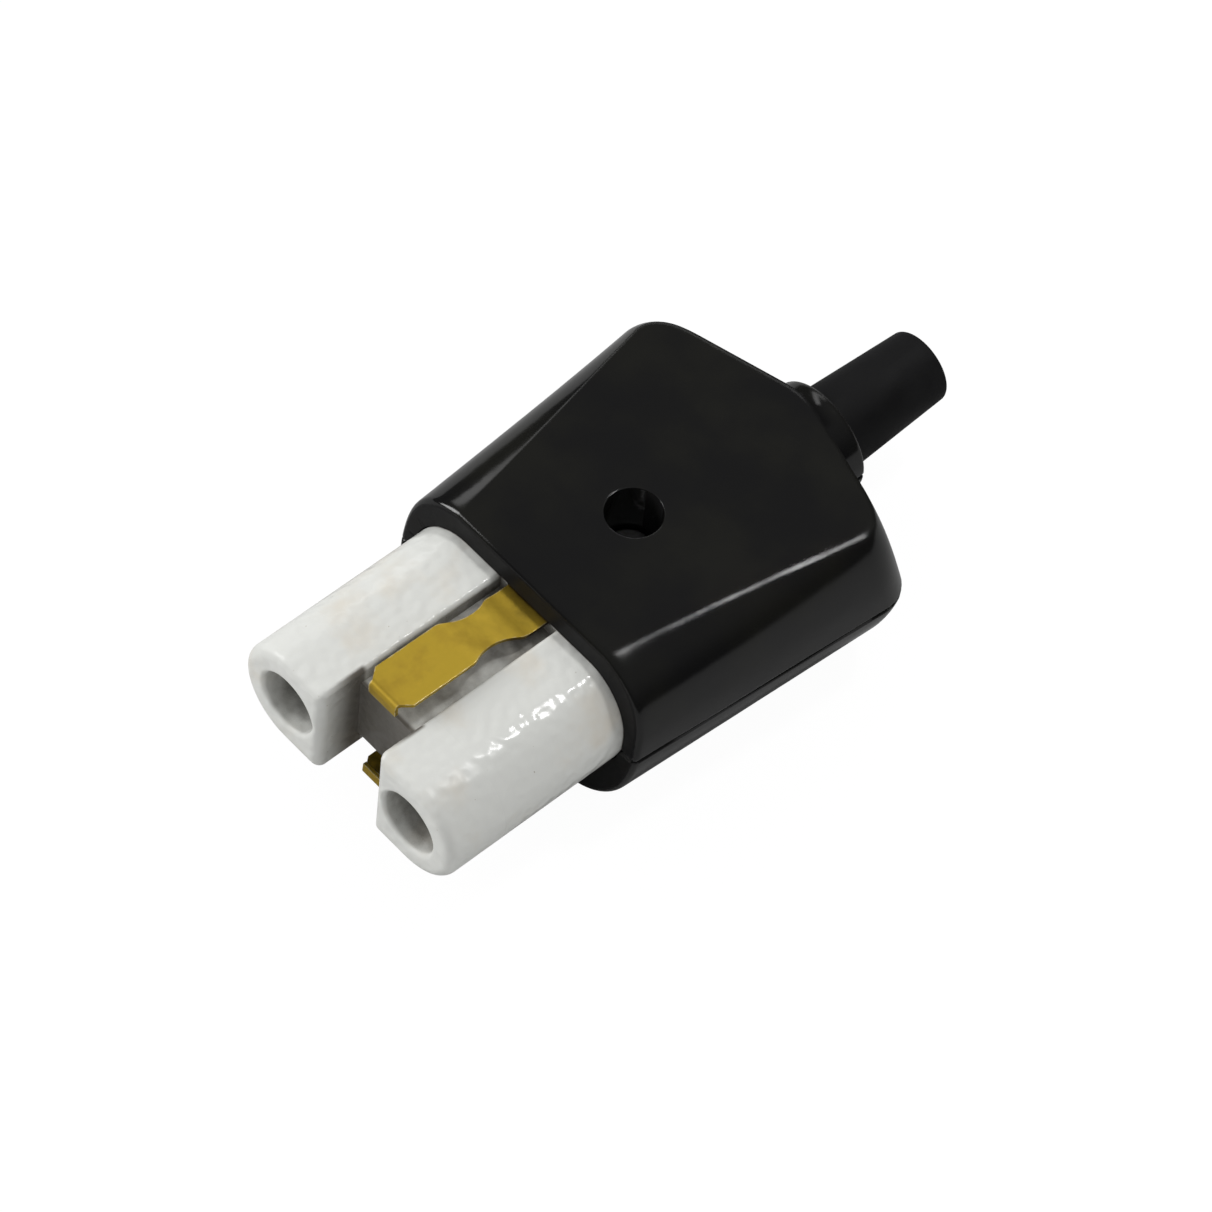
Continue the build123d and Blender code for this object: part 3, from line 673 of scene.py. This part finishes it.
zinc = steel_finish("zinc_plated_steel", ZINC, ZINC_DULL, 0.28, 0.5)
spring_steel = steel_finish("tempered_strip", STRIP, STRIP_DULL, 0.3, 0.45)
print("made", zinc.name, "and", spring_steel.name)

# %% [markdown]
# The cord sleeve is plain black rubber: almost no gloss, a fine grain, and a film of dust that
# lifts its black a little in clouds.

# %% Rubber
RUBBER = (0.0045, 0.0045, 0.005)
RUBBER_DUSTY = (0.0085, 0.0085, 0.009)

rubber, tree, shader = new_material("black_rubber", ior=1.45, specular_ior_level=0.22)
dust = use_group(tree, mottle, Scale=210.0, Low=0.35, High=0.75, Detail=6.0)
drive(
    tree,
    shader,
    base_color=tint(tree, dust, RUBBER, RUBBER_DUSTY),
    roughness=ramp(tree, dust, 0.6, 0.8),
    normal=use_group(tree, grain, Scale=2400.0, Height=0.02 * MM, Detail=4.0),
)
print("made", rubber.name)

# %% [markdown]
# The clamp bar that holds the cord inside the housing is pressed brown fibre, matte and layered.
# It is hidden, so it gets only a tone and a coarse grain.

# %% Fibre
FIBRE = (0.17, 0.07, 0.035)
FIBRE_DARK = (0.1, 0.04, 0.02)

fibre, tree, shader = new_material("pressed_fibre", roughness=0.7)
layers = use_group(tree, mottle, Scale=600.0, Low=0.3, High=0.7, Detail=6.0)
drive(
    tree,
    shader,
    base_color=tint(tree, layers, FIBRE, FIBRE_DARK),
    normal=use_group(tree, grain, Scale=1500.0, Height=0.03 * MM, Detail=4.0),
)
print("made", fibre.name)

# %% [markdown]
# The CAD record says which material slot each node has, so the finishes are handed out by slot.
# A node keeps its shape and its place, and only its material changes.

# %% Give every CAD node its finish
SLOT_FINISH = {
    "housing": phenolic,
    "ceramic": ceramic,
    "brass": brass,
    "spring_steel": spring_steel,
    "screw_steel": zinc,
    "rubber": rubber,
    "fibre": fibre,
}
SLOT_OF = {row["node"]: row["material_slot"] for row in frame["record"]["subparts"]}
for name, piece in nodes.items():
    piece.data.materials.clear()
    piece.data.materials.append(SLOT_FINISH[SLOT_OF[name]])
print("finishes given to", len(nodes), "nodes")

# %% [markdown]
# A CAD node's mesh is loose triangles, and its shape is never changed. Where a piece needs more,
# it is copied, the triangles are joined in the copy, and the copy replaces the node.

# %% Copy a CAD node as one clean mesh
SAME_POINT = 0.0005 * MM


def merged_copy(node_name, new_name):
    """Copy of a CAD node with its loose triangles joined, at the origin like the node."""
    copy = bpy.data.objects.new(new_name, nodes[node_name].data.copy())
    scene.collection.objects.link(copy)
    work = bmesh.new()
    work.from_mesh(copy.data)
    bmesh.ops.remove_doubles(work, verts=work.verts, dist=SAME_POINT)
    work.to_mesh(copy.data)
    work.free()
    return copy


print("points closer than", round(SAME_POINT / MM, 4), "mm become one in a copy")

# %% [markdown]
# The two shells of the housing were moulded apart, and the edges where they meet were scraped, so
# a fine dark groove runs all round the plug. A modifier could bevel every edge, but only this one
# is wanted. So each shell is cut level a little away from the parting plane, and the points on the
# plane that lie outside are drawn in. Outside means that nothing of the shell is met by looking
# straight out from the point. The cut keeps a hard edge, or the shading would smear over it. The
# faces that look forward get the ground finish.

# %% Parting line: cut and find the outer edge
PARTING_Z = 10.9 * MM
GROOVE = 0.38 * MM
CUT_TOLERANCE = 0.0001 * MM
ON_PLANE = 0.001 * MM
LOOK_FROM, LOOK_ABOVE = 0.02 * MM, 0.01 * MM
LEVEL_FACE = 0.9
NO_WAY_OUT = 0.1


def cut_level(work, z):
    """Cut a mesh at a height and mark the new edges as hard."""
    cut = bmesh.ops.bisect_plane(
        work,
        geom=work.verts[:] + work.edges[:] + work.faces[:],
        plane_co=(0, 0, z),
        plane_no=(0, 0, 1),
        dist=CUT_TOLERANCE,
    )
    for part in cut["geom_cut"]:
        if isinstance(part, bmesh.types.BMEdge):
            part.smooth = False


def way_out(point):
    """Level direction away from the upright faces round a point; its length is 1, or near 0."""
    total = Vector((0, 0, 0))
    for face in point.link_faces:
        if abs(face.normal.z) < LEVEL_FACE:
            total += Vector((face.normal.x, face.normal.y, 0)).normalized()
    return total if total.length < NO_WAY_OUT else total.normalized()


def outer_points(work, side):
    """Points on the parting plane with open air outside, each with its way out."""
    solid = BVHTree.FromBMesh(work)
    found = {}
    for point in work.verts:
        outward = way_out(point)
        if abs(point.co.z - PARTING_Z) > ON_PLANE or outward.length < NO_WAY_OUT:
            continue
        look_from = point.co + outward * LOOK_FROM + Vector((0, 0, side * LOOK_ABOVE))
        if solid.ray_cast(look_from, outward)[0] is None:
            found[point] = outward
    return found


print("the groove is", round(2 * GROOVE / MM, 2), "mm high at", round(PARTING_Z / MM, 1), "mm")

# %% Parting line: draw the edge in
FORWARD_FACE = -0.9


def groove_edge(node_name, side):
    """Copy of a shell with its outer edge at the parting plane cut off at a slant."""
    piece = merged_copy(node_name, node_name + "_grooved")
    piece.data.materials.append(ground)
    ground_index = len(piece.data.materials) - 1
    work = bmesh.new()
    work.from_mesh(piece.data)
    cut_level(work, PARTING_Z + side * GROOVE)
    work.normal_update()
    moves = outer_points(work, side)
    for point, outward in moves.items():
        point.co -= outward * GROOVE
    work.normal_update()
    for face in work.faces:
        if face.normal.y < FORWARD_FACE:
            face.material_index = ground_index
    work.to_mesh(piece.data)
    work.free()
    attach(piece, "root")
    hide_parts(node_name)
    return piece, len(moves)


for node_name, side in (("upper_housing", 1), ("lower_housing", -1)):
    piece, moved = groove_edge(node_name, side)
    print(piece.name, "has", len(piece.data.polygons), "faces,", moved, "points drawn in")

# %% [markdown]
# The screws leave the CAD model as plain rods. A real screw has a rolled thread, one ridge that
# winds round the shank. It could be modelled turn by turn, but a thread follows a path, so a
# Geometry Nodes tree sweeps a small diamond along a spiral. Its inputs are the radius under the
# ridge, the pitch, the length, and where the spiral starts and points. The shank of the copied
# screw is drawn in to that radius first, so the crest of the ridge ends at the true diameter.

# %% Thread tree
STEPS_PER_TURN = 20
DIAMOND_CORNERS = 4

thread_tree = bpy.data.node_groups.new("screw_thread", "GeometryNodeTree")
thread_inputs = {}
for label, kind in (
    ("Geometry", "NodeSocketGeometry"),
    ("Root Radius", "NodeSocketFloat"),
    ("Pitch", "NodeSocketFloat"),
    ("Length", "NodeSocketFloat"),
    ("Start", "NodeSocketVector"),
    ("Turn", "NodeSocketVector"),
    ("Finish", "NodeSocketMaterial"),
):
    thread_inputs[label] = thread_tree.interface.new_socket(label, in_out="INPUT", socket_type=kind)
thread_tree.interface.new_socket("Geometry", in_out="OUTPUT", socket_type="NodeSocketGeometry")
given = thread_tree.nodes.new("NodeGroupInput").outputs
spiral = add_node(
    thread_tree,
    "GeometryNodeCurveSpiral",
    resolution=STEPS_PER_TURN,
    rotations=calculate(thread_tree, "DIVIDE", given["Length"], given["Pitch"]),
    start_radius=given["Root Radius"],
    end_radius=given["Root Radius"],
)
feed(thread_tree, given["Length"], spiral.inputs["Height"])
upright = add_node(
    thread_tree, "GeometryNodeSetCurveNormal", mode="Z_UP", curve=spiral.outputs["Curve"]
)
diamond = add_node(
    thread_tree,
    "GeometryNodeCurvePrimitiveCircle",
    resolution=DIAMOND_CORNERS,
    radius=calculate(thread_tree, "MULTIPLY", given["Pitch"], 0.5),
)
ridge = add_node(
    thread_tree,
    "GeometryNodeCurveToMesh",
    curve=upright.outputs["Curve"],
    profile_curve=diamond.outputs["Curve"],
    fill_caps=True,
)
placed = add_node(
    thread_tree,
    "GeometryNodeTransform",
    geometry=ridge.outputs["Mesh"],
    translation=given["Start"],
    rotation=given["Turn"],
)
both = add_node(thread_tree, "GeometryNodeJoinGeometry", geometry=placed.outputs["Geometry"])
feed(thread_tree, given["Geometry"], both.inputs["Geometry"])
whole = add_node(
    thread_tree, "GeometryNodeRealizeInstances", geometry=both.outputs["Geometry"]
)
finished = add_node(
    thread_tree,
    "GeometryNodeSetMaterial",
    geometry=whole.outputs["Geometry"],
    material=given["Finish"],
)
end = thread_tree.nodes.new("NodeGroupOutput")
feed(thread_tree, finished.outputs["Geometry"], end.inputs["Geometry"])
print("thread tree has inputs", list(thread_inputs))

# %% [markdown]
# Each screw node is copied with its loose triangles merged. The copy shows where the head ends and
# the shank begins: the underside of the head is the lowest place that is wider than the shank. The
# earth screw lies along X, the others stand upright, so the measuring works along either axis. The
# thread stops a little short of the tip and of the head, as a rolled thread does.

# %% Threaded screws
HEAD_OVERHANG = 0.2 * MM
SHANK_TOLERANCE = 0.05 * MM
SEAT_TOLERANCE = 0.01 * MM
RUN_OUT = 0.7


def threaded_screw(node_name, shank_d, pitch, along="Z"):
    """Copy of a CAD screw with a rolled thread, which replaces the plain one."""
    piece = merged_copy(node_name, node_name + "_threaded")
    axis = "XYZ".index(along)
    across = [i for i in range(3) if i != axis]
    points = piece.data.vertices
    middle = Vector((0, 0, 0))
    for i in across:
        values = [p.co[i] for p in points]
        middle[i] = (min(values) + max(values)) / 2
    radius_of = [math.hypot(*((p.co - middle)[i] for i in across)) for p in points]
    shank_radius = shank_d / 2
    root_radius = shank_radius - pitch / 2
    tip = min(p.co[axis] for p in points)
    seat = min(p.co[axis] for p, r in zip(points, radius_of) if r > shank_radius + HEAD_OVERHANG)
    for point, radius in zip(points, radius_of):
        if point.co[axis] < seat + SEAT_TOLERANCE and radius < shank_radius + SHANK_TOLERANCE:
            for i in across:
                point.co[i] = middle[i] + (point.co[i] - middle[i]) * root_radius / shank_radius
    start_at = middle.copy()
    start_at[axis] = tip + RUN_OUT * pitch
    settings = {
        "Root Radius": root_radius,
        "Pitch": pitch,
        "Length": seat - tip - 2 * RUN_OUT * pitch,
        "Start": start_at,
        "Turn": Vector((0, math.pi / 2, 0)) if along == "X" else Vector((0, 0, 0)),
        "Finish": zinc,
    }
    modifier = piece.modifiers.new("thread", "NODES")
    modifier.node_group = thread_tree
    for label, value in settings.items():
        modifier[thread_inputs[label].identifier] = value
    graph = bpy.context.evaluated_depsgraph_get()
    threaded = bpy.data.meshes.new_from_object(piece.evaluated_get(graph))
    piece.modifiers.remove(modifier)
    piece.data = threaded
    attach(piece, "root")
    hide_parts(node_name)
    return piece


M4, M4_PITCH = 4.0 * MM, 0.7 * MM
M3, M3_PITCH = 3.0 * MM, 0.5 * MM
threaded_screw("housing_screw", M4, M4_PITCH)
for name in ("left_terminal_screw", "right_terminal_screw", "left_clamp_screw", "right_clamp_screw"):
    threaded_screw(name, M3, M3_PITCH)
earth = threaded_screw("earth_screw", M3, M3_PITCH, along="X")
print("threaded 6 screws; the earth screw has", len(earth.data.polygons), "faces")
